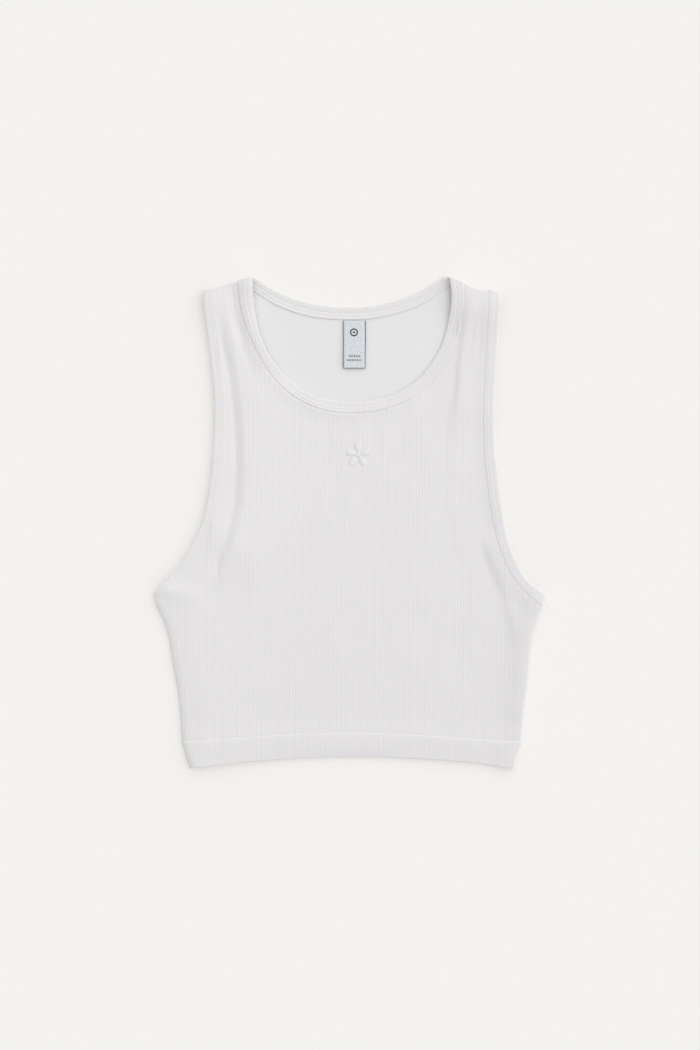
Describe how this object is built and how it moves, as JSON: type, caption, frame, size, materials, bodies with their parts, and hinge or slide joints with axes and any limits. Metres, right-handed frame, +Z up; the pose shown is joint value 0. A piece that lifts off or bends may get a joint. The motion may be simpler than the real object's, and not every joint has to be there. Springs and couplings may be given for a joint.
{
  "type": "cropped rib-knit tank top",
  "caption": "Cropped sleeveless tank top in white rib knit with a high round neck and bound edges, laid flat with its front up.",
  "frame": {"origin": "on the surface it lies on, under the middle of its bounding box", "axes": "+Y towards the neck, +X to the right as seen from above, +Z up out of the surface"},
  "size_m": [0.3612, 0.4514, 0.0098],
  "materials": {
    "rib_knit": "matte",
    "rib_knit_inside": "matte",
    "binding_rib": "matte",
    "label_satin": "satin"
  },
  "bodies": {
    "root": {"front_panel": "rib_knit", "back_panel": "rib_knit_inside", "neck_binding": "binding_rib", "armhole_binding_left": "binding_rib", "armhole_binding_right": "binding_rib", "neck_label": "label_satin"}
  },
  "joints": []
}
